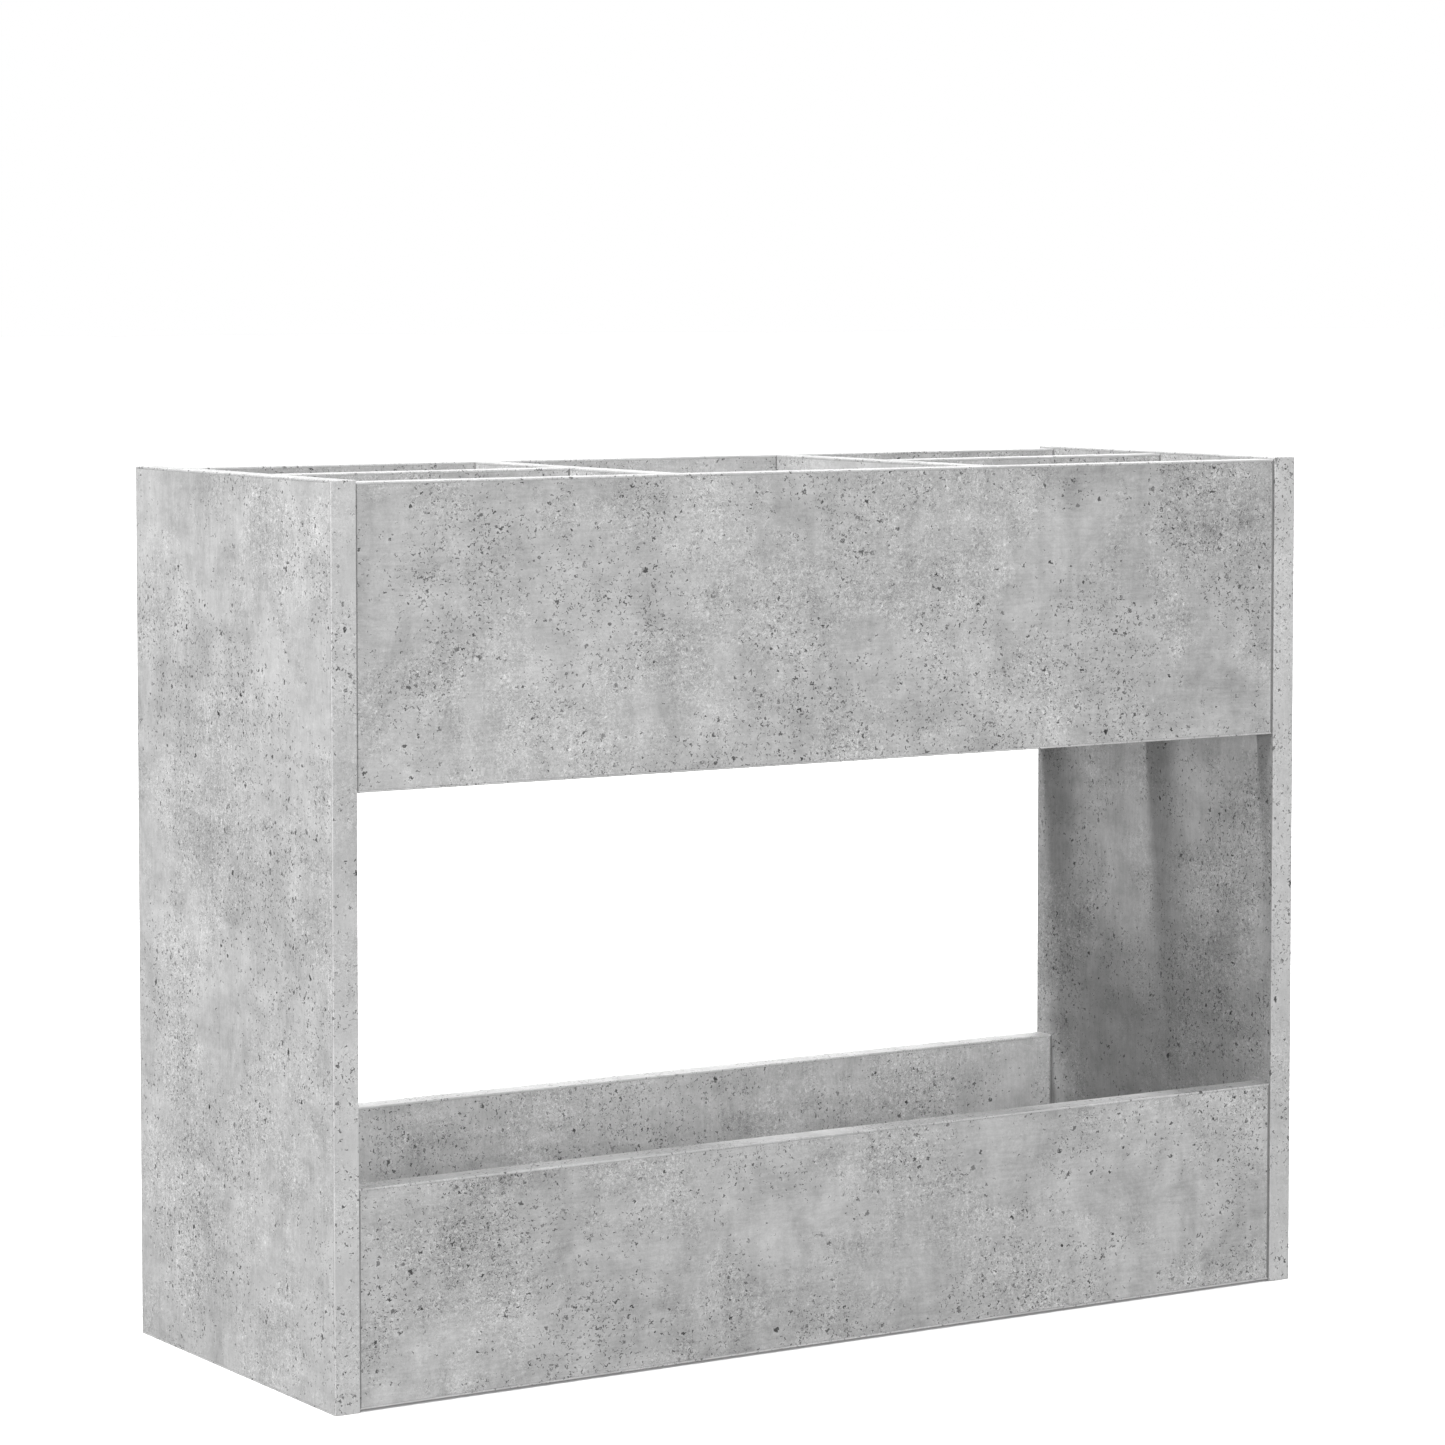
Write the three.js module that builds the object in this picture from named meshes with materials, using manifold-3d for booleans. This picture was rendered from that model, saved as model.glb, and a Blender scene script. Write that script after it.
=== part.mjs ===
// Free-standing umbrella stand built from concrete-look laminated boards.
//
// Two full-height end panels carry two upper rails, two lower rails and a base panel. Cross dividers and bay
// dividers split the frame between the upper rails into compartments. Wooden dowels locate every joint, and
// cam locks with cam bolts draw the end panels on to the rails.
//
// Units are millimetres. +X runs along the stand, the front faces -Y and +Z is up. The origin is on the
// floor under the middle of the stand.

import * as THREE from "three";
import { RoundedBoxGeometry } from "three/addons/geometries/RoundedBoxGeometry.js";
import { mergeVertices } from "three/addons/utils/BufferGeometryUtils.js";
import Module from "manifold-3d";

// Driving dimensions of the boards
const LENGTH = 783;
const DEPTH = 287;
const HEIGHT = 600;
const BOARD = 18;
const INSET = 1.5; // rails and dividers stand back this far from the end panels' edges, the floor and the top
const UPPER_RAIL_HEIGHT = 198.5;
const LOWER_RAIL_HEIGHT = 143.5;
const BAYS = 3;
const EDGE_RADIUS = 0.75; // rounding of the banded board edges
const EDGE_SEGMENTS = 1;

// Driving dimensions of the fasteners
const DOWEL_RADIUS = 4;
const DOWEL_CHAMFER = 0.75;
const DOWEL_IN_FACE = 12;
const DOWEL_IN_EDGE = 18;
const DOWEL_SPACING = 128; // between the two dowels of a tall joint
const BASE_DOWEL_SPACING = 160;
const LOWER_SPACING = 64; // between the cam bolt and the dowel of a lower rail
const CAM_RADIUS = 7.5;
const CAM_HEIGHT = 13.5;
const CAM_FROM_END = 34; // cam centre from the rail's end
const BOLT_IN_FACE = 11;
const PLAY = 0.25; // clearance around and behind every fastener
const ROUND_SIDES = 12;
const CAM_SIDES = 24;

// Places worked out from the driving dimensions
const RAIL_LENGTH = LENGTH - 2 * BOARD;
const INNER_DEPTH = DEPTH - 2 * INSET - 2 * BOARD;
const RAIL_Y = INNER_DEPTH / 2 + BOARD / 2;
const END_X = LENGTH / 2 - BOARD / 2;
const UPPER_Z = HEIGHT - INSET - UPPER_RAIL_HEIGHT / 2;
const LOWER_Z = INSET + LOWER_RAIL_HEIGHT / 2;
const BASE_Z = INSET + BOARD / 2;
const BAY_WIDTH = (RAIL_LENGTH - (BAYS - 1) * BOARD) / BAYS;
const CROSS_X = BAY_WIDTH / 2 + BOARD / 2;
const BAY_X = BAY_WIDTH + BOARD;

const laminate = { color: 0xb2b2b0, roughness: 0.62, metalness: 0 };
const zinc = { color: 0xa9abad, roughness: 0.38, metalness: 0.9 };
const steel = { color: 0xc4c6c8, roughness: 0.3, metalness: 1 };
const beech = { color: 0xcfa878, roughness: 0.75, metalness: 0 };

const wasm = await Module();
wasm.setup();

// A closed geometry as a solid that can be cut and joined
function toSolid(geometry) {
  geometry.deleteAttribute("normal");
  geometry.deleteAttribute("uv");
  const merged = mergeVertices(geometry);
  const vertProperties = new Float32Array(merged.attributes.position.array);
  const triVerts = new Uint32Array(merged.index.array);
  return new wasm.Manifold(new wasm.Mesh({ numProp: 3, vertProperties, triVerts }));
}

function toGeometry(solid) {
  const { vertProperties, triVerts } = solid.getMesh();
  const geometry = new THREE.BufferGeometry();
  geometry.setAttribute("position", new THREE.BufferAttribute(new Float32Array(vertProperties), 3));
  geometry.setIndex(new THREE.BufferAttribute(new Uint32Array(triVerts), 1));
  geometry.computeVertexNormals();
  return geometry;
}

function cutAll(solid, tools) {
  return tools.reduce((rest, tool) => rest.subtract(tool), solid);
}

function namedMesh(name, geometry, look) {
  const mesh = new THREE.Mesh(geometry, new THREE.MeshStandardMaterial(look));
  mesh.name = name;
  return mesh;
}

// Turns a shape made along +Y so that it points along the given direction
function turnTo(direction) {
  return new THREE.Quaternion().setFromUnitVectors(new THREE.Vector3(0, 1, 0), direction);
}

// A round cutter that starts just outside a face at a point and goes in along a direction
function drill(start, direction, radius, depth, sides = ROUND_SIDES) {
  const overrun = 1;
  const geometry = new THREE.CylinderGeometry(radius, radius, depth + overrun, sides);
  geometry.translate(0, (depth - overrun) / 2, 0);
  geometry.applyQuaternion(turnTo(direction));
  geometry.translate(start.x, start.y, start.z);
  return toSolid(geometry);
}

function block(size, centre) {
  const geometry = new THREE.BoxGeometry(size.x, size.y, size.z);
  geometry.translate(centre.x, centre.y, centre.z);
  return toSolid(geometry);
}

// The boards, by name: size, centre and the holes that the joints below add
const boards = {};

function addBoard(name, size, centre) {
  boards[name] = {
    size: new THREE.Vector3(...size),
    centre: new THREE.Vector3(...centre),
    holes: [],
  };
}

const ENDS = [["left", -1], ["right", 1]];
const SIDES = [["front", -1], ["back", 1]];

for (const [end, x] of ENDS) {
  addBoard(`end_panel_${end}`, [BOARD, DEPTH, HEIGHT], [x * END_X, 0, HEIGHT / 2]);
  addBoard(`cross_divider_${end}`, [BOARD, INNER_DEPTH, UPPER_RAIL_HEIGHT], [x * CROSS_X, 0, UPPER_Z]);
  addBoard(`bay_divider_${end}`, [BAY_WIDTH, BOARD, UPPER_RAIL_HEIGHT], [x * BAY_X, 0, UPPER_Z]);
}
for (const [side, y] of SIDES) {
  addBoard(`upper_rail_${side}`, [RAIL_LENGTH, BOARD, UPPER_RAIL_HEIGHT], [0, y * RAIL_Y, UPPER_Z]);
  addBoard(`lower_rail_${side}`, [RAIL_LENGTH, BOARD, LOWER_RAIL_HEIGHT], [0, y * RAIL_Y, LOWER_Z]);
}
addBoard("base_panel", [RAIL_LENGTH, INNER_DEPTH, BOARD], [0, 0, BASE_Z]);

const fasteners = new THREE.Group();

// A dowel across a joint. "at" is on the joint's plane and "into" points into the board drilled in its edge
function addDowel(name, faceBoard, edgeBoard, at, into) {
  const out = into.clone().negate();
  boards[faceBoard].holes.push([at, out, DOWEL_RADIUS + PLAY, DOWEL_IN_FACE + PLAY]);
  boards[edgeBoard].holes.push([at, into, DOWEL_RADIUS + PLAY, DOWEL_IN_EDGE + PLAY]);
  const profile = [
    [0, -DOWEL_IN_FACE],
    [DOWEL_RADIUS - DOWEL_CHAMFER, -DOWEL_IN_FACE],
    [DOWEL_RADIUS, DOWEL_CHAMFER - DOWEL_IN_FACE],
    [DOWEL_RADIUS, DOWEL_IN_EDGE - DOWEL_CHAMFER],
    [DOWEL_RADIUS - DOWEL_CHAMFER, DOWEL_IN_EDGE],
    [0, DOWEL_IN_EDGE],
  ];
  const dowel = namedMesh(name, turned(profile, ROUND_SIDES), beech);
  dowel.quaternion.copy(turnTo(into));
  dowel.position.copy(at);
  fasteners.add(dowel);
}

// A turned piece from a profile of [radius, distance along the axis] points
function turned(profile, sides) {
  const points = profile.map(([radius, along]) => new THREE.Vector2(radius, along));
  return toGeometry(toSolid(new THREE.LatheGeometry(points, sides)));
}

// The cam bolt: thread and collar at the end panel, shank, thin neck and a head that the cam holds.
// Distances run from the end panel's inner face.
const THREAD_RADIUS = 3;
const COLLAR_RADIUS = 3.75;
const COLLAR_LENGTH = 3;
const SHANK_RADIUS = 3;
const NECK_RADIUS = 1.75;
const HEAD_RADIUS = 3.25;
const HEAD_BEHIND_CENTRE = 1;
const HEAD_AHEAD_OF_CENTRE = 3;
const SHANK_GAP = 0.75;

function boltGeometry() {
  const shankEnd = CAM_FROM_END - CAM_RADIUS - SHANK_GAP;
  const headStart = CAM_FROM_END - HEAD_AHEAD_OF_CENTRE;
  const headEnd = CAM_FROM_END + HEAD_BEHIND_CENTRE;
  return turned([
    [0, -BOLT_IN_FACE],
    [THREAD_RADIUS - 1, -BOLT_IN_FACE],
    [THREAD_RADIUS, 1 - BOLT_IN_FACE],
    [THREAD_RADIUS, PLAY],
    [COLLAR_RADIUS, PLAY],
    [COLLAR_RADIUS, COLLAR_LENGTH],
    [SHANK_RADIUS, COLLAR_LENGTH + 1],
    [SHANK_RADIUS, shankEnd - 1],
    [NECK_RADIUS, shankEnd],
    [NECK_RADIUS, headStart],
    [HEAD_RADIUS, headStart + 1],
    [HEAD_RADIUS, headEnd - 1],
    [HEAD_RADIUS - 1, headEnd],
    [0, headEnd],
  ], ROUND_SIDES);
}

// The cam: a cast drum with a hollow for the bolt's head, a slot that runs from the entry round to the neck,
// and a cross recess for the screwdriver. Its axis is Y, the bolt comes in along -X and the middle of the
// hollow is the origin.
const CAM_WALL = 2.25;
const RECESS_WIDTH = 1.5;
const RECESS_LENGTH = 8;
const RECESS_DEPTH = 2.5;

function camGeometry() {
  const top = BOARD / 2 - PLAY;
  const drum = new THREE.CylinderGeometry(CAM_RADIUS, CAM_RADIUS, CAM_HEIGHT, CAM_SIDES);
  drum.translate(0, top - CAM_HEIGHT / 2, 0);
  const hollowHeight = 2 * (HEAD_RADIUS + PLAY);
  const hollow = new THREE.CylinderGeometry(
    CAM_RADIUS - CAM_WALL, CAM_RADIUS - CAM_WALL, hollowHeight, CAM_SIDES);
  const slotHalf = NECK_RADIUS + PLAY;
  const reach = CAM_RADIUS + 1;
  const slot = block(
    new THREE.Vector3(reach, 2 * slotHalf, reach + slotHalf),
    new THREE.Vector3(reach / 2, 0, (reach - slotHalf) / 2),
  );
  const entry = drill(
    new THREE.Vector3(0, 0, reach), new THREE.Vector3(0, 0, -1), HEAD_RADIUS + PLAY / 2, reach);
  const recess = [[RECESS_LENGTH, RECESS_WIDTH], [RECESS_WIDTH, RECESS_LENGTH]].map(([x, z]) => block(
    new THREE.Vector3(x, 2 * RECESS_DEPTH, z),
    new THREE.Vector3(0, top, 0),
  ));
  return toGeometry(cutAll(toSolid(drum), [toSolid(hollow), slot, entry, ...recess]));
}

// A cam lock and its bolt at one end of a rail. The cam sits in a pocket in the rail's face on the "pocket"
// side, -1 for the front face and 1 for the back face.
function addCamLock(rail, end, x, z, pocket) {
  const faceBoard = `end_panel_${end}`;
  const into = new THREE.Vector3(-x, 0, 0);
  const out = into.clone().negate();
  const railY = boards[rail].centre.y;
  const at = new THREE.Vector3(x * RAIL_LENGTH / 2, railY, z);
  boards[faceBoard].holes.push([at, out, THREAD_RADIUS + PLAY, BOLT_IN_FACE + PLAY]);
  boards[rail].holes.push([at, into, DOWEL_RADIUS + PLAY, CAM_FROM_END]);

  const bolt = namedMesh(`${rail}_cam_bolt_${end}`, boltGeometry(), steel);
  bolt.quaternion.copy(turnTo(into));
  bolt.position.copy(at);

  const centre = at.clone().addScaledVector(into, CAM_FROM_END);
  const outward = new THREE.Vector3(0, pocket, 0);
  const mouth = centre.clone().addScaledVector(outward, BOARD / 2);
  const pocketDepth = CAM_HEIGHT + 2 * PLAY;
  boards[rail].holes.push([mouth, outward.clone().negate(), CAM_RADIUS + PLAY, pocketDepth, CAM_SIDES]);
  const cam = namedMesh(`${rail}_cam_lock_${end}`, camGeometry(), zinc);
  const axes = new THREE.Matrix4().makeBasis(out, outward, out.clone().cross(outward));
  cam.quaternion.setFromRotationMatrix(axes);
  cam.position.copy(centre);
  fasteners.add(bolt, cam);
}

for (const [side, y] of SIDES) {
  for (const [end, x] of ENDS) {
    const into = new THREE.Vector3(-x, 0, 0);
    const panel = `end_panel_${end}`;
    const jointX = x * RAIL_LENGTH / 2;
    const railY = y * RAIL_Y;

    // Upper rail: a cam lock between two dowels
    const upper = `upper_rail_${side}`;
    addCamLock(upper, end, x, UPPER_Z, 1);
    for (const [level, z] of [["top", 1], ["bottom", -1]]) {
      const at = new THREE.Vector3(jointX, railY, UPPER_Z + z * DOWEL_SPACING / 2);
      addDowel(`${upper}_dowel_${end}_${level}`, panel, upper, at, into);
    }

    // Lower rail: a cam lock above a dowel
    const lower = `lower_rail_${side}`;
    addCamLock(lower, end, x, LOWER_Z + LOWER_SPACING / 2, 1);
    const lowerAt = new THREE.Vector3(jointX, railY, LOWER_Z - LOWER_SPACING / 2);
    addDowel(`${lower}_dowel_${end}`, panel, lower, lowerAt, into);

    // Base panel: a dowel near each corner
    const baseAt = new THREE.Vector3(jointX, y * BASE_DOWEL_SPACING / 2, BASE_Z);
    addDowel(`base_panel_dowel_${end}_${side}`, panel, "base_panel", baseAt, into);

    // Cross divider: two dowels into each upper rail
    const cross = `cross_divider_${end}`;
    for (const [level, z] of [["top", 1], ["bottom", -1]]) {
      const at = new THREE.Vector3(x * CROSS_X, y * INNER_DEPTH / 2, UPPER_Z + z * DOWEL_SPACING / 2);
      addDowel(`${cross}_dowel_${side}_${level}`, upper, cross, at, new THREE.Vector3(0, -y, 0));
    }
  }
}

// Bay dividers: two dowels into the end panel and two into the cross divider
for (const [end, x] of ENDS) {
  const bay = `bay_divider_${end}`;
  for (const [level, z] of [["top", 1], ["bottom", -1]]) {
    const height = UPPER_Z + z * DOWEL_SPACING / 2;
    const outer = new THREE.Vector3(x * RAIL_LENGTH / 2, 0, height);
    addDowel(`${bay}_dowel_outer_${level}`, `end_panel_${end}`, bay, outer, new THREE.Vector3(-x, 0, 0));
    const inner = new THREE.Vector3(x * (CROSS_X + BOARD / 2), 0, height);
    addDowel(`${bay}_dowel_inner_${level}`, `cross_divider_${end}`, bay, inner, new THREE.Vector3(x, 0, 0));
  }
}

// A board with rounded edges and its blind holes
function boardMesh(name, { size, centre, holes }) {
  const blank = toSolid(new RoundedBoxGeometry(size.x, size.y, size.z, EDGE_SEGMENTS, EDGE_RADIUS));
  const drills = holes.map(([start, ...rest]) => drill(start.clone().sub(centre), ...rest));
  const mesh = namedMesh(name, toGeometry(cutAll(blank, drills)), laminate);
  mesh.position.copy(centre);
  return mesh;
}

const boardGroup = new THREE.Group();
for (const [name, board] of Object.entries(boards)) {
  boardGroup.add(boardMesh(name, board));
}

const stand = new THREE.Group();
stand.add(boardGroup, fasteners);

export default stand;
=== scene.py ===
"""Umbrella stand of concrete-look laminated boards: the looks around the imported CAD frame.

Everything is in metres, in the frame's own axes: +X along the stand, the front faces -Y, +Z up.
"""

import math

import bmesh
import bpy
from mathutils import Matrix, Vector


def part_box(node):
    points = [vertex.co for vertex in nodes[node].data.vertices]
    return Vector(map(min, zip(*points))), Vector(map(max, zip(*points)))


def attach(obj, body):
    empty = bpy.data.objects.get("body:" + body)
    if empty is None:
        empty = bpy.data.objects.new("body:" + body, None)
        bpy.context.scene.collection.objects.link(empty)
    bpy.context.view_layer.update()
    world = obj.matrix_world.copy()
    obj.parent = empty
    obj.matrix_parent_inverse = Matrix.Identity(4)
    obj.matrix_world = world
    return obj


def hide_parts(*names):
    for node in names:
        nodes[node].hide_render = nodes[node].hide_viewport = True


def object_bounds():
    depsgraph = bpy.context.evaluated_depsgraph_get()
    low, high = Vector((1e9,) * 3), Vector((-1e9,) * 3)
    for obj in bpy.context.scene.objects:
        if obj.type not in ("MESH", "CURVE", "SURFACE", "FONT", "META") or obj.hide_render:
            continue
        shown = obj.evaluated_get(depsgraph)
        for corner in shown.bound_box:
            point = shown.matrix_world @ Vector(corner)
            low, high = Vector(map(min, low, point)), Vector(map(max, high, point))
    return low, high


MM = 0.001

# Boards
EDGE_RADIUS = 0.5 * MM  # rounding of the edge band
EDGE_STEPS = 4
SEAM_INSET = 1.5 * MM  # the joint between the band and the face laminate, from the board's edge
SEAM_HALF_WIDTH = 0.16 * MM
SEAM_DEPTH = 0.15 * MM
SEAM_LEAST_DEPTH = 0.02 * MM  # a face sunk deeper than this belongs to a seam
CORNER_RADIUS = 0.5 * MM
LEAST_CORNER = 0.04 * MM
CORNER_STEPS = 3
SHARP_ANGLE = 40  # degrees between two faces, above which their edge is shaded sharp
FACE_PRINTS = (Vector((11.7, 5.2, 0.0)), Vector((0.0, 0.0, 0.0)))  # where the print lies on each face
BAND_PRINT = Vector((2.3, 4.1, 0.0))

MEAN_REFLECTANCE = 0.45  # of the concrete print
CHIPBOARD = 1  # material index of the core; the laminate has index 0

# Holes around the fasteners
HOLE_PLAY = 0.25 * MM
HOLE_SIDES = 48

# Camera, at the photograph's viewing angle
CAMERA_PLACE = (-1.7703, -2.7792, 0.7216)
CAMERA_YAW = 32.396  # degrees from +Y towards +X
CAMERA_PITCH = 3.539  # degrees below the horizon
CAMERA_LENS = 116.8  # mm
CAMERA_SENSOR = 36.0  # mm
CAMERA_REACH = 200.0  # farther than the floor's corners
CAMERA_SHIFT = -0.10  # keeps the uprights near vertical

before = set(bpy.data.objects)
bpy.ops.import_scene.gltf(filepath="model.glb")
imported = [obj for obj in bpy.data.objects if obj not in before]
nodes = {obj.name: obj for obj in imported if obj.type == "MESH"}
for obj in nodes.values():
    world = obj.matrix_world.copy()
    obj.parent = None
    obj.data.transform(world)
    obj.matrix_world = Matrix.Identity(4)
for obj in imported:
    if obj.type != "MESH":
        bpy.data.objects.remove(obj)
cad_low, cad_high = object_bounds()


# ---------------------------------------------------------------- materials

class Shader:
    """A material's node tree with short calls for the nodes used here."""

    def __init__(self, name):
        self.material = bpy.data.materials.new(name)
        self.material.use_nodes = True
        self.tree = self.material.node_tree
        self.surface = self.tree.nodes["Principled BSDF"]

    def node(self, kind, inputs, **settings):
        made = self.tree.nodes.new(kind)
        for key, value in settings.items():
            setattr(made, key, value)
        for key, value in inputs.items():
            socket = made.inputs[key]
            if isinstance(value, bpy.types.NodeSocket):
                self.tree.links.new(value, socket)
            else:
                socket.default_value = value
        return made

    def math(self, operation, first, second=0.0):
        made = self.node("ShaderNodeMath", {0: first, 1: second}, operation=operation)
        return made.outputs[0]

    def scaled(self, vector, scale):
        made = self.node("ShaderNodeVectorMath", {0: vector, 1: scale}, operation="MULTIPLY")
        return made.outputs[0]

    def moved(self, vector, offset):
        made = self.node("ShaderNodeVectorMath", {0: vector, 1: offset}, operation="ADD")
        return made.outputs[0]

    def noise(self, vector, scale, detail=2.0, roughness=0.5, distortion=0.0, output="Fac", space="2D"):
        made = self.node(
            "ShaderNodeTexNoise",
            {
                "Vector": vector,
                "Scale": scale,
                "Detail": detail,
                "Roughness": roughness,
                "Distortion": distortion,
            },
            noise_dimensions=space,
        )
        return made.outputs[output]

    def cells(self, vector, scale):
        return self.node(
            "ShaderNodeTexVoronoi", {"Vector": vector, "Scale": scale}, voronoi_dimensions="2D"
        )

    def spread(self, value, low, high, to_low=0.0, to_high=1.0, smooth=True):
        made = self.node(
            "ShaderNodeMapRange",
            {
                "Value": value,
                "From Min": low,
                "From Max": high,
                "To Min": to_low,
                "To Max": to_high,
            },
            interpolation_type="SMOOTHSTEP" if smooth else "LINEAR",
        )
        return made.outputs["Result"]

    def attribute(self, name, output="Fac"):
        made = self.tree.nodes.new("ShaderNodeAttribute")
        made.attribute_name = name
        return made.outputs[output]

    def grey_mix(self, factor, first, second):
        made = self.node("ShaderNodeMix", {0: factor, 2: first, 3: second}, data_type="FLOAT")
        return made.outputs[0]

    def colour_mix(self, factor, first, second):
        made = self.node("ShaderNodeMix", {0: factor, 6: first, 7: second}, data_type="RGBA")
        return made.outputs[2]

    def bump(self, height, strength, distance):
        made = self.node(
            "ShaderNodeBump", {"Height": height, "Strength": strength, "Distance": distance}
        )
        self.set("Normal", made.outputs["Normal"])

    def set(self, socket, value):
        target = self.surface.inputs[socket]
        if isinstance(value, bpy.types.NodeSocket):
            self.tree.links.new(value, target)
        else:
            target.default_value = value


def pores(shader, place, per_metre, largest, share, cluster):
    """Dark pits of the print and the pale halos around them, as (pit, halo), each 0 to 1.

    A cell is 1 / per_metre wide and may hold one pit. share of the cells do, times the cluster noise.
    largest is the widest pit's radius as a share of its cell."""
    cells = shader.cells(place, per_metre)
    chance = shader.node("ShaderNodeSeparateColor", {"Color": cells.outputs["Color"]})
    limit = shader.math("SUBTRACT", 1.0, shader.math("MULTIPLY", cluster, share))
    present = shader.math("GREATER_THAN", chance.outputs[0], limit)
    strength = shader.spread(chance.outputs[2], 0.0, 1.0, 0.5, 1.0, smooth=False)
    present = shader.math("MULTIPLY", present, strength)
    size = shader.spread(chance.outputs[1], 0.0, 1.0, largest * 0.5, largest, smooth=False)
    depth = shader.math("DIVIDE", cells.outputs["Distance"], size)
    pit = shader.spread(depth, 0.6, 1.1, 1.0, 0.0)
    halo = shader.math("MULTIPLY", shader.spread(depth, 0.9, 1.3), shader.spread(depth, 1.4, 2.2, 1.0, 0.0))
    return shader.math("MULTIPLY", pit, present), shader.math("MULTIPLY", halo, present)


def laminate_material():
    """Concrete-look melamine: clouds, rough and smooth patches, fine grain, pits and faint scratches."""
    s = Shader("concrete_laminate")
    place = s.attribute("laminate", "Vector")

    # Bend the lookups a little so that nothing is round or straight
    warp = s.noise(place, 420.0, detail=3.0, output="Color")
    warp = s.scaled(s.moved(warp, (-0.5, -0.5, 0.0)), (0.0058, 0.0058, 0.0))
    bent = s.moved(place, warp)

    # Noises are centred on 0, so each one lightens and darkens alike
    def around(value):
        return s.math("SUBTRACT", value, 0.5)

    def turned(degrees, stretch, offset):
        made = s.node(
            "ShaderNodeMapping",
            {"Vector": bent, "Location": offset, "Rotation": (0.0, 0.0, math.radians(degrees)),
             "Scale": stretch},
        )
        return made.outputs[0]

    wide = s.scaled(place, (0.8, 1.0, 1.0))
    elsewhere = s.moved(place, (3.1, 7.7, 0.0))
    along = s.scaled(place, (0.2, 1.0, 1.0))
    across = s.scaled(place, (1.0, 0.16, 1.0))
    thin = s.scaled(place, (0.12, 1.0, 1.0))
    clouds = around(s.noise(wide, 5.0, detail=5.0, roughness=0.6, distortion=0.4))
    patches = around(s.noise(elsewhere, 24.0, detail=8.0, roughness=0.78, distortion=0.3))
    smears = around(s.noise(along, 60.0, detail=5.0, roughness=0.65))
    strokes = around(s.noise(across, 70.0, detail=5.0, roughness=0.65))
    fibres = around(s.noise(thin, 420.0, detail=3.0, roughness=0.7, distortion=0.5))
    mottle = around(s.noise(bent, 290.0, detail=4.0, roughness=0.8))
    grain = around(s.noise(bent, 820.0, detail=2.0, roughness=0.8))

    rough_zone = s.noise(s.moved(place, (9.0, 2.0, 0.0)), 9.0, detail=6.0, roughness=0.7, distortion=0.3)
    rough_zone = s.spread(rough_zone, 0.42, 0.62)
    cluster = s.noise(s.moved(place, (5.0, 1.0, 0.0)), 9.0, detail=6.0, roughness=0.75)
    cluster = s.spread(cluster, 0.40, 0.64, 0.04, 2.0)

    # Grey level, as a share of the mean reflectance
    level = s.math("ADD", s.math("MULTIPLY", clouds, 0.75), s.math("MULTIPLY", patches, 1.0))
    level = s.math("ADD", level, s.math("MULTIPLY", smears, 0.24))
    level = s.math("ADD", level, s.math("MULTIPLY", strokes, 0.36))
    level = s.math("ADD", level, s.math("MULTIPLY", fibres, 0.34))
    fine = s.math("ADD", s.math("MULTIPLY", mottle, 1.00), s.math("MULTIPLY", grain, 2.0))
    share = s.spread(rough_zone, 0.0, 1.0, 0.20, 1.00, smooth=False)
    level = s.math("ADD", level, s.math("MULTIPLY", fine, share))

    # Pale flecks in the rough zones
    flecks = s.noise(s.moved(bent, (1.0, 6.0, 0.0)), 300.0, detail=3.0, roughness=0.6)
    flecks = s.math("MULTIPLY", s.spread(flecks, 0.58, 0.70), rough_zone)
    level = s.math("ADD", level, s.math("MULTIPLY", flecks, 0.28))

    # The edge band has a calmer, paler print
    band = s.attribute("band")
    level = s.math("MULTIPLY", level, s.spread(band, 0.0, 1.0, 1.0, 0.65, smooth=False))
    level = s.math("ADD", level, s.spread(band, 0.0, 1.0, 1.0, 1.16, smooth=False))

    # Pits from wide to tiny, and a few short scratches: the place, the cells per metre, the widest
    # radius, the share of cells and the darkness
    layers = (
        (turned(25, (0.7, 1.0, 1.0), (0.0, 0.0, 0.0)), 85.0, 0.145, 0.12, 0.92),
        (turned(-60, (0.6, 1.0, 1.0), (2.0, 3.0, 0.0)), 120.0, 0.145, 0.19, 0.92),
        (turned(10, (0.8, 1.0, 1.0), (6.0, 1.0, 0.0)), 210.0, 0.200, 0.42, 0.88),
        (turned(-30, (0.8, 1.0, 1.0), (4.0, 5.0, 0.0)), 390.0, 0.280, 0.40, 0.78),
        (turned(62, (0.12, 1.0, 1.0), (1.0, 9.0, 0.0)), 60.0, 0.048, 0.14, 0.64),
        (turned(-40, (1.0, 0.14, 1.0), (7.0, 2.0, 0.0)), 60.0, 0.048, 0.12, 0.62),
    )
    pits = 0.0
    halos = 0.0
    for where, per_metre, largest, share, darkness in layers:
        pit, halo = pores(s, where, per_metre, largest, share, cluster)
        pits = s.math("MAXIMUM", pits, s.math("MULTIPLY", pit, darkness))
        halos = s.math("MAXIMUM", halos, s.math("MULTIPLY", halo, darkness))
    level = s.math("ADD", level, s.math("MULTIPLY", halos, 0.14))
    level = s.math("MULTIPLY", level, s.math("SUBTRACT", 1.0, pits))
    level = s.math("MULTIPLY", level, MEAN_REFLECTANCE)

    # Painted highlight on a band's rim, a dark hairline at its joint with the face, and painted shade on a
    # butted end
    level = s.grey_mix(s.math("MULTIPLY", s.attribute("painted_rim_highlight"), 0.08), level, 0.50)
    level = s.grey_mix(s.math("MULTIPLY", s.attribute("seam"), 0.42), level, 0.16)
    # Painted shade: butted ends are darkened as the shade in the gap between boards
    level = s.grey_mix(s.math("MULTIPLY", s.attribute("painted_gap_shade"), 0.70), level, 0.10)

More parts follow.
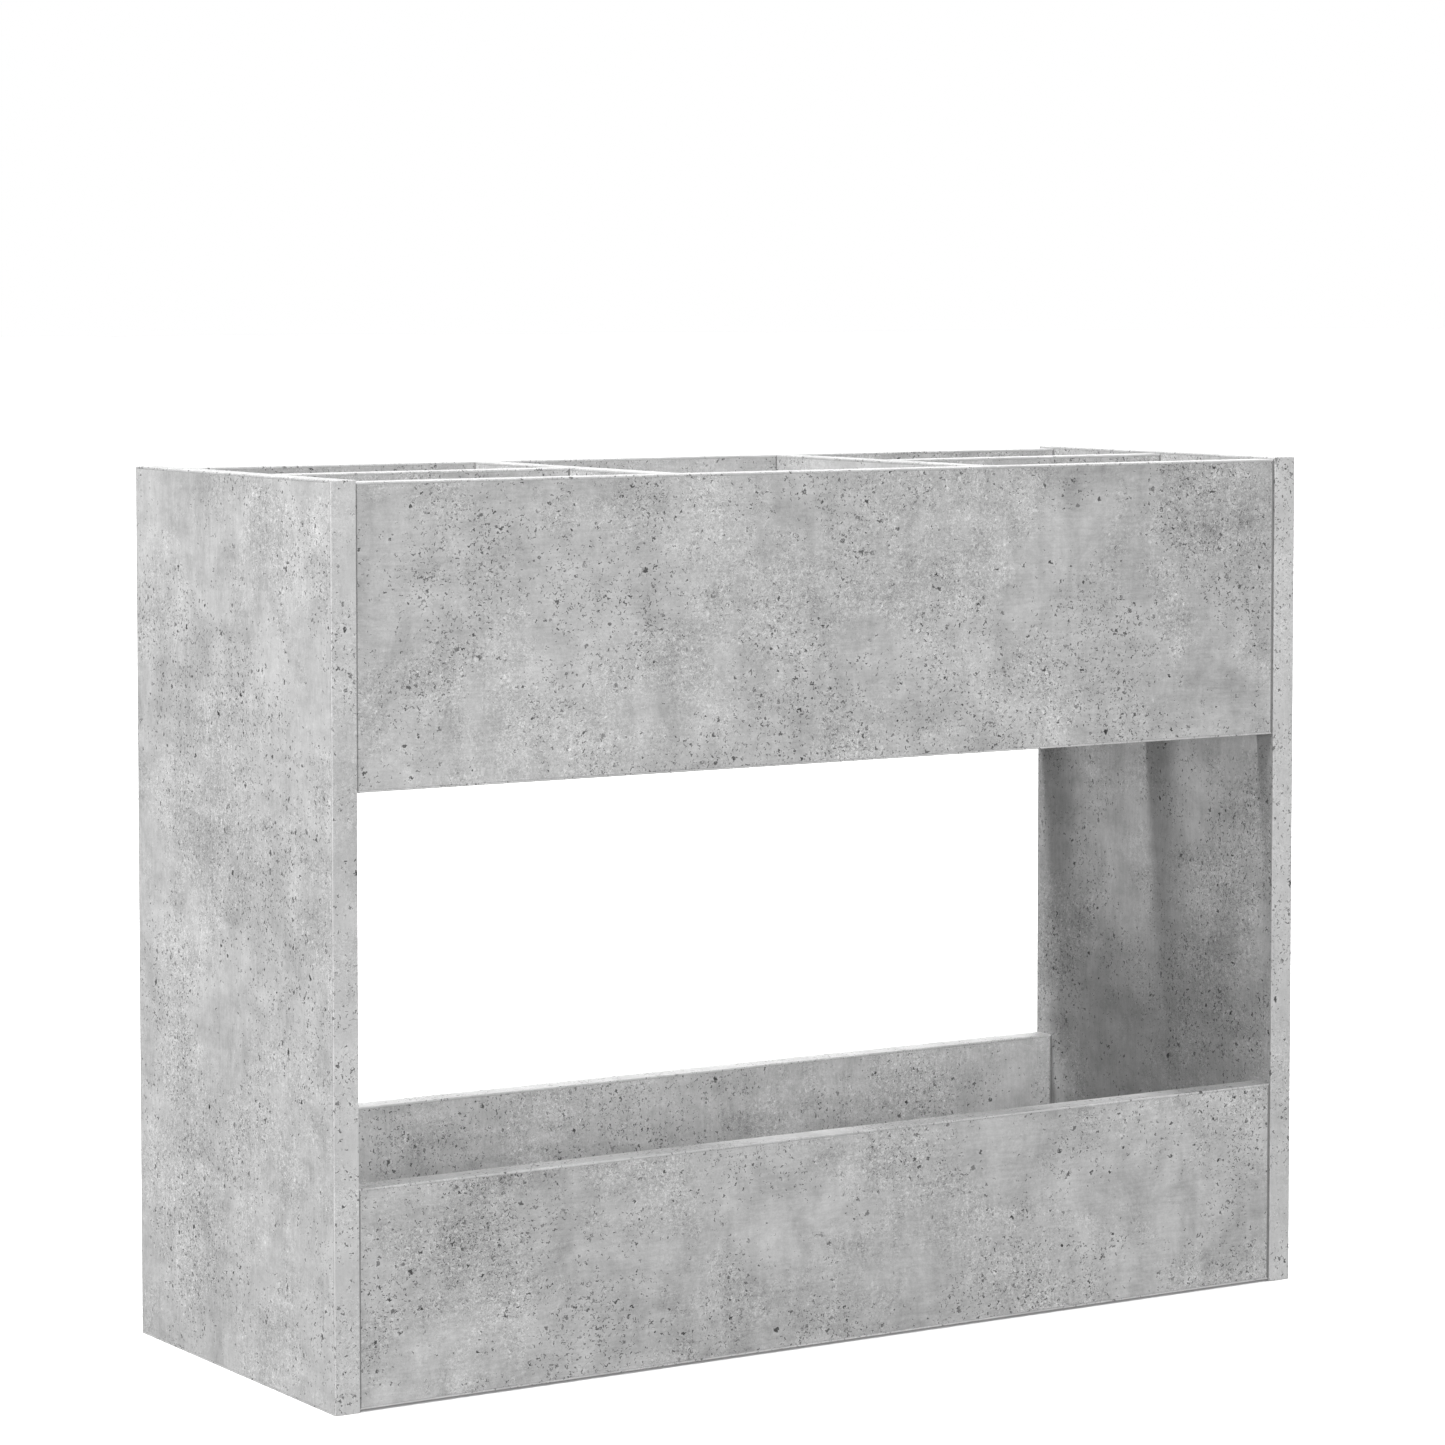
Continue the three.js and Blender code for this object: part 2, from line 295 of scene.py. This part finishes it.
    colour = s.node("ShaderNodeCombineColor", {0: level, 1: level, 2: level})
    s.set("Base Color", colour.outputs[0])
    s.set("Roughness", s.spread(mottle, -0.2, 0.2, 0.58, 0.72, smooth=False))
    s.set("Specular IOR Level", 0.35)
    relief = s.math("SUBTRACT", s.math("MULTIPLY", grain, 0.35), pits)
    s.bump(relief, 0.35, 0.00012)
    return s.material


def chipboard_material():
    """Pressed wood chips, seen inside the drilled holes."""
    s = Shader("chipboard_core")
    place = s.attribute("laminate", "Vector")
    chips = s.cells(s.scaled(place, (0.5, 1.0, 1.0)), 600.0)
    shade = s.noise(place, 900.0, detail=3.0)
    tone = s.node("ShaderNodeSeparateColor", {"Color": chips.outputs["Color"]}).outputs[0]
    tone = s.math("MULTIPLY", tone, shade)
    s.set("Base Color", s.colour_mix(tone, (0.42, 0.29, 0.16, 1.0), (0.63, 0.50, 0.33, 1.0)))
    s.set("Roughness", 0.85)
    s.bump(shade, 0.4, 0.0004)
    return s.material


# ---------------------------------------------------------------- boards

def ring_points(half_length, half_width, inset, height):
    """A rectangle with rounded corners, inset from the board's outline, at a height."""
    radius = max(CORNER_RADIUS - inset, LEAST_CORNER)
    x = half_length - inset - radius
    y = half_width - inset - radius
    points = []
    for corner, (sx, sy) in enumerate(((1, 1), (-1, 1), (-1, -1), (1, -1))):
        for step in range(CORNER_STEPS + 1):
            angle = math.radians(90) * (corner + step / CORNER_STEPS)
            points.append(
                Vector((sx * x + radius * math.cos(angle), sy * y + radius * math.sin(angle), height))
            )
    return points


def board_rings(half_thickness):
    """(inset, height) from the middle of one face, over the edge, to the middle of the other."""
    top = half_thickness
    rings = [
        (SEAM_INSET + SEAM_HALF_WIDTH, top),
        (SEAM_INSET, top - SEAM_DEPTH),
        (SEAM_INSET - SEAM_HALF_WIDTH, top),
    ]
    for step in range(EDGE_STEPS + 1):
        angle = math.radians(90) * step / EDGE_STEPS
        inset = EDGE_RADIUS * (1 - math.sin(angle))
        rings.append((inset, top - EDGE_RADIUS * (1 - math.cos(angle))))
    return rings + [(inset, -height) for inset, height in reversed(rings)]


def board_mesh(name, size):
    """A banded board with its length along X, its width along Y and its thickness along Z."""
    half_length, half_width, half_thickness = (side / 2 for side in size)
    bm = bmesh.new()
    loops = [
        [bm.verts.new(point) for point in ring_points(half_length, half_width, inset, height)]
        for inset, height in board_rings(half_thickness)
    ]
    bm.faces.new(loops[0])
    bm.faces.new(list(reversed(loops[-1])))
    for upper, lower in zip(loops, loops[1:]):
        for i in range(len(upper)):
            j = (i + 1) % len(upper)
            bm.faces.new((upper[i], lower[i], lower[j], upper[j]))
    bmesh.ops.recalc_face_normals(bm, faces=bm.faces)
    mesh = bpy.data.meshes.new(name)
    bm.to_mesh(mesh)
    bm.free()
    return mesh


def drill_mesh(low, high, axis):
    """A round cutter around a fastener's box, along one of the frame's axes."""
    centre = (low + high) / 2
    others = [i for i in range(3) if i != axis]
    radius = (high[others[0]] - low[others[0]]) / 2 + HOLE_PLAY
    length = high[axis] - low[axis] + 2 * HOLE_PLAY
    turn = Matrix.Identity(4)
    if axis == 0:
        turn = Matrix.Rotation(math.radians(90), 4, "Y")
    if axis == 1:
        turn = Matrix.Rotation(math.radians(90), 4, "X")
    bm = bmesh.new()
    bmesh.ops.create_cone(
        bm,
        cap_ends=True,
        segments=HOLE_SIDES,
        radius1=radius,
        radius2=radius,
        depth=length,
        matrix=Matrix.Translation(centre) @ turn,
    )
    return bm


def overlaps(low, high, other_low, other_high):
    return all(low[i] < other_high[i] and other_low[i] < high[i] for i in range(3))


def cut_holes(board, board_low, board_high):
    """Drills the board around every fastener that lies in it."""
    for kind in ("dowel", "cam_bolt", "cam_lock"):
        cutter_mesh = bpy.data.meshes.new("drills")
        joined = bmesh.new()
        for name in nodes:
            if kind not in name:
                continue
            low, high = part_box(name)
            if not overlaps(low, high, board_low, board_high):
                continue
            sides = high - low
            if kind == "cam_lock":
                axis = min(range(3), key=lambda i: sides[i])
                high[axis] += 4 * HOLE_PLAY  # the pocket is open at the face
            else:
                axis = max(range(3), key=lambda i: sides[i])
            drill = drill_mesh(low, high, axis)
            part = bpy.data.meshes.new("drill")
            drill.to_mesh(part)
            drill.free()
            joined.from_mesh(part)
            bpy.data.meshes.remove(part)
        if joined.verts:
            joined.to_mesh(cutter_mesh)
            cutter = bpy.data.objects.new("cutter", cutter_mesh)
            bpy.context.scene.collection.objects.link(cutter)
            cut = board.modifiers.new("drill", "BOOLEAN")
            cut.object = cutter
            cut.solver = "EXACT"
            bpy.context.view_layer.update()
            result = board.evaluated_get(bpy.context.evaluated_depsgraph_get())
            drilled = bpy.data.meshes.new_from_object(result)
            board.modifiers.clear()
            board.data = drilled
            bpy.data.objects.remove(cutter)
        joined.free()
        bpy.data.meshes.remove(cutter_mesh)


def paint_board(mesh, to_local, size, offset, butted):
    """Gives every face corner its place in the print; marks the band, seams, painted-highlight rim and
    painted-shade gaps.

    offset moves the board within the print, and butted is the board's own axis whose two ends meet other
    boards, or None."""
    half = [side / 2 for side in size]
    places = [0.0] * (3 * len(mesh.loops))
    painted_rim_highlights = [0.0] * len(mesh.loops)
    bands = [0.0] * len(mesh.loops)
    seams = [0.0] * len(mesh.loops)
    painted_gap_shades = [0.0] * len(mesh.loops)
    for face in mesh.polygons:
        points = [to_local @ mesh.vertices[i].co for i in face.vertices]
        middle = sum(points, Vector()) / len(points)
        inset = [half[i] - abs(middle[i]) for i in range(3)]
        on_face = inset[2] < SEAM_DEPTH
        on_edge = min(inset[0], inset[1]) < EDGE_RADIUS
        in_band = min(inset[0], inset[1]) < SEAM_INSET + SEAM_HALF_WIDTH
        is_seam = on_face and in_band and inset[2] > SEAM_LEAST_DEPTH and not on_edge
        in_painted_gap_shade = butted is not None and inset[butted] < SEAM_INSET
        if not on_edge and not on_face:
            face.material_index = CHIPBOARD
        for corner, point in zip(face.loop_indices, points):
            if on_face and not in_band:
                spot = point + offset + FACE_PRINTS[point.z > 0]
            elif inset[0] < inset[1]:
                spot = Vector((point.y, point.x + point.z, 0.0)) + offset + BAND_PRINT
            else:
                spot = Vector((point.x, point.y + point.z, 0.0)) + offset + BAND_PRINT
            places[3 * corner:3 * corner + 3] = (spot.x, spot.y, 0.0)
            # The rim between the seam and the edge gets a painted highlight
            painted_rim_highlights[corner] = 1.0 if in_band and on_face and not is_seam else 0.0
            bands[corner] = 1.0 if in_band and not is_seam else 0.0
            seams[corner] = 1.0 if is_seam else 0.0
            # A butted end gets painted shade
            painted_gap_shades[corner] = 1.0 if in_painted_gap_shade else 0.0
    mesh.attributes.new("laminate", "FLOAT_VECTOR", "CORNER")
    mesh.attributes["laminate"].data.foreach_set("vector", places)
    for name, values in (("painted_rim_highlight", painted_rim_highlights), ("band", bands), ("seam", seams), ("painted_gap_shade", painted_gap_shades)):
        mesh.attributes.new(name, "FLOAT", "CORNER")
        mesh.attributes[name].data.foreach_set("value", values)


def local_axes(sides, grain):
    """Rotation from the frame to the board's own axes: X along the grain, Z through the board."""
    through = min(range(3), key=lambda i: sides[i])
    across = 3 - through - grain
    unit = Matrix.Identity(3)
    rows = [unit[grain].copy(), unit[across].copy(), unit[through].copy()]
    turn = Matrix(rows)
    if turn.determinant() < 0:
        rows[2] = -rows[2]
        turn = Matrix(rows)
    return turn


def add_board(node, grain, offset, butted, materials):
    """A finished board in place of a CAD board.

    grain is the frame axis that the print runs along, and butted is the frame axis along which the board's
    ends meet other boards, or None."""
    low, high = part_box(node)
    sides = high - low
    turn = local_axes(sides, grain)
    size = [abs(side) for side in turn @ sides]
    mesh = board_mesh(node + "_board", size)
    to_world = Matrix.Translation((low + high) / 2) @ turn.transposed().to_4x4()
    mesh.transform(to_world)
    board = bpy.data.objects.new(node + "_board", mesh)
    bpy.context.scene.collection.objects.link(board)
    cut_holes(board, low, high)
    board.data.name = node + "_board"
    board.data.materials.clear()
    for material in materials:
        board.data.materials.append(material)
    own_axis = None if butted is None else max(range(3), key=lambda i: abs(turn[i][butted]))
    paint_board(board.data, to_world.inverted(), size, offset, own_axis)
    for face in board.data.polygons:
        face.use_smooth = True
    board.data.set_sharp_from_angle(angle=math.radians(SHARP_ANGLE))
    weighted = board.modifiers.new("even shading", "WEIGHTED_NORMAL")
    weighted.keep_sharp = True
    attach(board, "root")
    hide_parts(node)


X, Y, Z = 0, 1, 2

# Each board's grain, and the axis of its butted ends
BOARDS = {
    "end_panel_left": (Z, None),
    "end_panel_right": (Z, None),
    "upper_rail_front": (X, X),
    "upper_rail_back": (X, X),
    "lower_rail_front": (X, X),
    "lower_rail_back": (Z, X),
    "base_panel": (X, X),
    "cross_divider_left": (Y, Y),
    "cross_divider_right": (Y, Y),
    "bay_divider_left": (X, X),
    "bay_divider_right": (X, X),
}
PRINT_STEP = Vector((1.7, 0.9, 0.0))  # each board shows a stretch of the print one step past the last
board_materials = [laminate_material(), chipboard_material()]
for index, (node, (grain, butted)) in enumerate(BOARDS.items()):
    add_board(node, grain, index * PRINT_STEP, butted, board_materials)


# ---------------------------------------------------------------- fasteners

def metal_material(name, grey, roughness, scale, metallic):
    s = Shader(name)
    place = s.node("ShaderNodeTexCoord", {}).outputs["Object"]
    cloud = s.noise(place, scale, detail=4.0, roughness=0.6, space="3D")
    shade = s.spread(cloud, 0.3, 0.7, grey * 0.85, grey * 1.1, smooth=False)
    s.set("Base Color", s.node("ShaderNodeCombineColor", {0: shade, 1: shade, 2: shade}).outputs[0])
    s.set("Metallic", metallic)
    s.set("Roughness", s.spread(cloud, 0.3, 0.7, roughness * 0.8, roughness * 1.2, smooth=False))
    s.bump(cloud, 0.15, 0.0001)
    return s.material


def beech_material():
    s = Shader("beech_dowel")
    place = s.node("ShaderNodeTexCoord", {}).outputs["Object"]
    fibres = s.noise(place, 900.0, detail=4.0, roughness=0.6, space="3D")
    s.set("Base Color", s.colour_mix(fibres, (0.52, 0.34, 0.17, 1.0), (0.72, 0.54, 0.34, 1.0)))
    s.set("Roughness", 0.7)
    s.bump(fibres, 0.3, 0.0002)
    return s.material


fastener_looks = {
    "cam_lock": metal_material("zinc_cam", 0.66, 0.46, 700.0, 0.8),
    "cam_bolt": metal_material("plated_steel", 0.68, 0.28, 500.0, 1.0),
    "dowel": beech_material(),
}
for name, node in nodes.items():
    for kind, look in fastener_looks.items():
        if kind in name:
            node.data.materials.clear()
            node.data.materials.append(look)


# ---------------------------------------------------------------- stage

def plain_material(name, grey, roughness):
    s = Shader(name)
    s.set("Base Color", (grey, grey, grey, 1.0))
    s.set("Roughness", roughness)
    s.set("Specular IOR Level", 0.2)
    return s.material


FLOOR_SIZE = 120.0
bpy.ops.mesh.primitive_plane_add(size=FLOOR_SIZE, location=(0, 0, 0))
floor = bpy.context.object
floor.name = "floor"
floor.data.materials.append(plain_material("pale_floor", 0.80, 0.9))
floor.visible_diffuse = False  # the world's lower half lights the stand from below instead
floor.visible_glossy = False
floor.visible_shadow = False
floor_only = bpy.data.collections.new("floor_only")
bpy.context.scene.collection.children.link(floor_only)
floor_only.objects.link(floor)

middle = (cad_low + cad_high) / 2


def place_light(name, light, place, target):
    lamp = bpy.data.objects.new(name, light)
    lamp.location = place
    lamp.rotation_euler = (Vector(target) - Vector(place)).to_track_quat("-Z", "Y").to_euler()
    bpy.context.scene.collection.objects.link(lamp)
    return lamp


def softbox(name, place, size, power):
    """A round area light that points at the stand. size in metres and power in watts."""
    light = bpy.data.lights.new(name, "AREA")
    light.shape = "DISK"
    light.size = size
    light.energy = power
    return place_light(name, light, place, middle)


def soft_sun(name, azimuth, elevation, strength, spread):
    """A distant light, with all angles in degrees. Azimuth 0 is the front and 90 is the right."""
    light = bpy.data.lights.new(name, "SUN")
    light.energy = strength
    light.angle = math.radians(spread)
    turn, tilt = math.radians(azimuth), math.radians(elevation)
    towards = Vector((math.sin(turn) * math.cos(tilt), -math.cos(turn) * math.cos(tilt), math.sin(tilt)))
    return place_light(name, light, middle + towards, middle)


softbox("front", (-0.6, -4.8, 1.6), 2.2, 191.0)
softbox("left", (-3.2, -0.1, 2.1), 1.6, 92.0)
soft_sun("high", -98, 57, 1.6, 7.0)
soft_sun("back", 135, 35, 2.0, 25.0)
soft_sun("right", 96, 20, 1.0, 20.0)
soft_sun("top", 0, 90, 0.5, 10.0)

# The floor has a light of its own and takes no shadow from it, so it stays plain and pale
floor_wash = soft_sun("floor_wash", 0, 90, 3.6, 25.0)
floor_wash.light_linking.receiver_collection = floor_only
floor_wash.light_linking.blocker_collection = bpy.data.collections.new("no_blockers")

# The studio: the camera sees white, and the stand is lit by a dimmer surround, brighter from below
# where a pale floor returns light
WHITE = (1.0, 1.0, 1.0, 1.0)
SKY = 0.16
FLOOR_BOUNCE = 0.28
HORIZON = 0.15  # half the height of the soft change between them, as a share of the sphere's radius
world = bpy.data.worlds.new("studio")
bpy.context.scene.world = world
world.use_nodes = True
nodes_of_world = world.node_tree.nodes
join = world.node_tree.links.new
background = nodes_of_world["Background"]
background.inputs["Color"].default_value = WHITE
direction = nodes_of_world.new("ShaderNodeTexCoord")
height = nodes_of_world.new("ShaderNodeSeparateXYZ")
surround = nodes_of_world.new("ShaderNodeMapRange")
surround.inputs["From Min"].default_value = -HORIZON
surround.inputs["From Max"].default_value = HORIZON
surround.inputs["To Min"].default_value = FLOOR_BOUNCE
surround.inputs["To Max"].default_value = SKY
path = nodes_of_world.new("ShaderNodeLightPath")
strength = nodes_of_world.new("ShaderNodeMapRange")
strength.inputs["To Max"].default_value = 1.0
join(direction.outputs["Generated"], height.inputs["Vector"])
join(height.outputs["Z"], surround.inputs["Value"])
join(surround.outputs["Result"], strength.inputs["To Min"])
join(path.outputs["Is Camera Ray"], strength.inputs["Value"])
join(strength.outputs["Result"], background.inputs["Strength"])

camera_data = bpy.data.cameras.new("camera")
camera_data.lens = CAMERA_LENS
camera_data.sensor_width = CAMERA_SENSOR
camera_data.shift_y = CAMERA_SHIFT
camera_data.clip_end = CAMERA_REACH
camera = bpy.data.objects.new("camera", camera_data)
camera.location = CAMERA_PLACE
camera.rotation_euler = (math.radians(90 - CAMERA_PITCH), 0.0, -math.radians(CAMERA_YAW))
bpy.context.scene.collection.objects.link(camera)
bpy.context.scene.camera = camera
bpy.context.scene.view_settings.view_transform = "Standard"
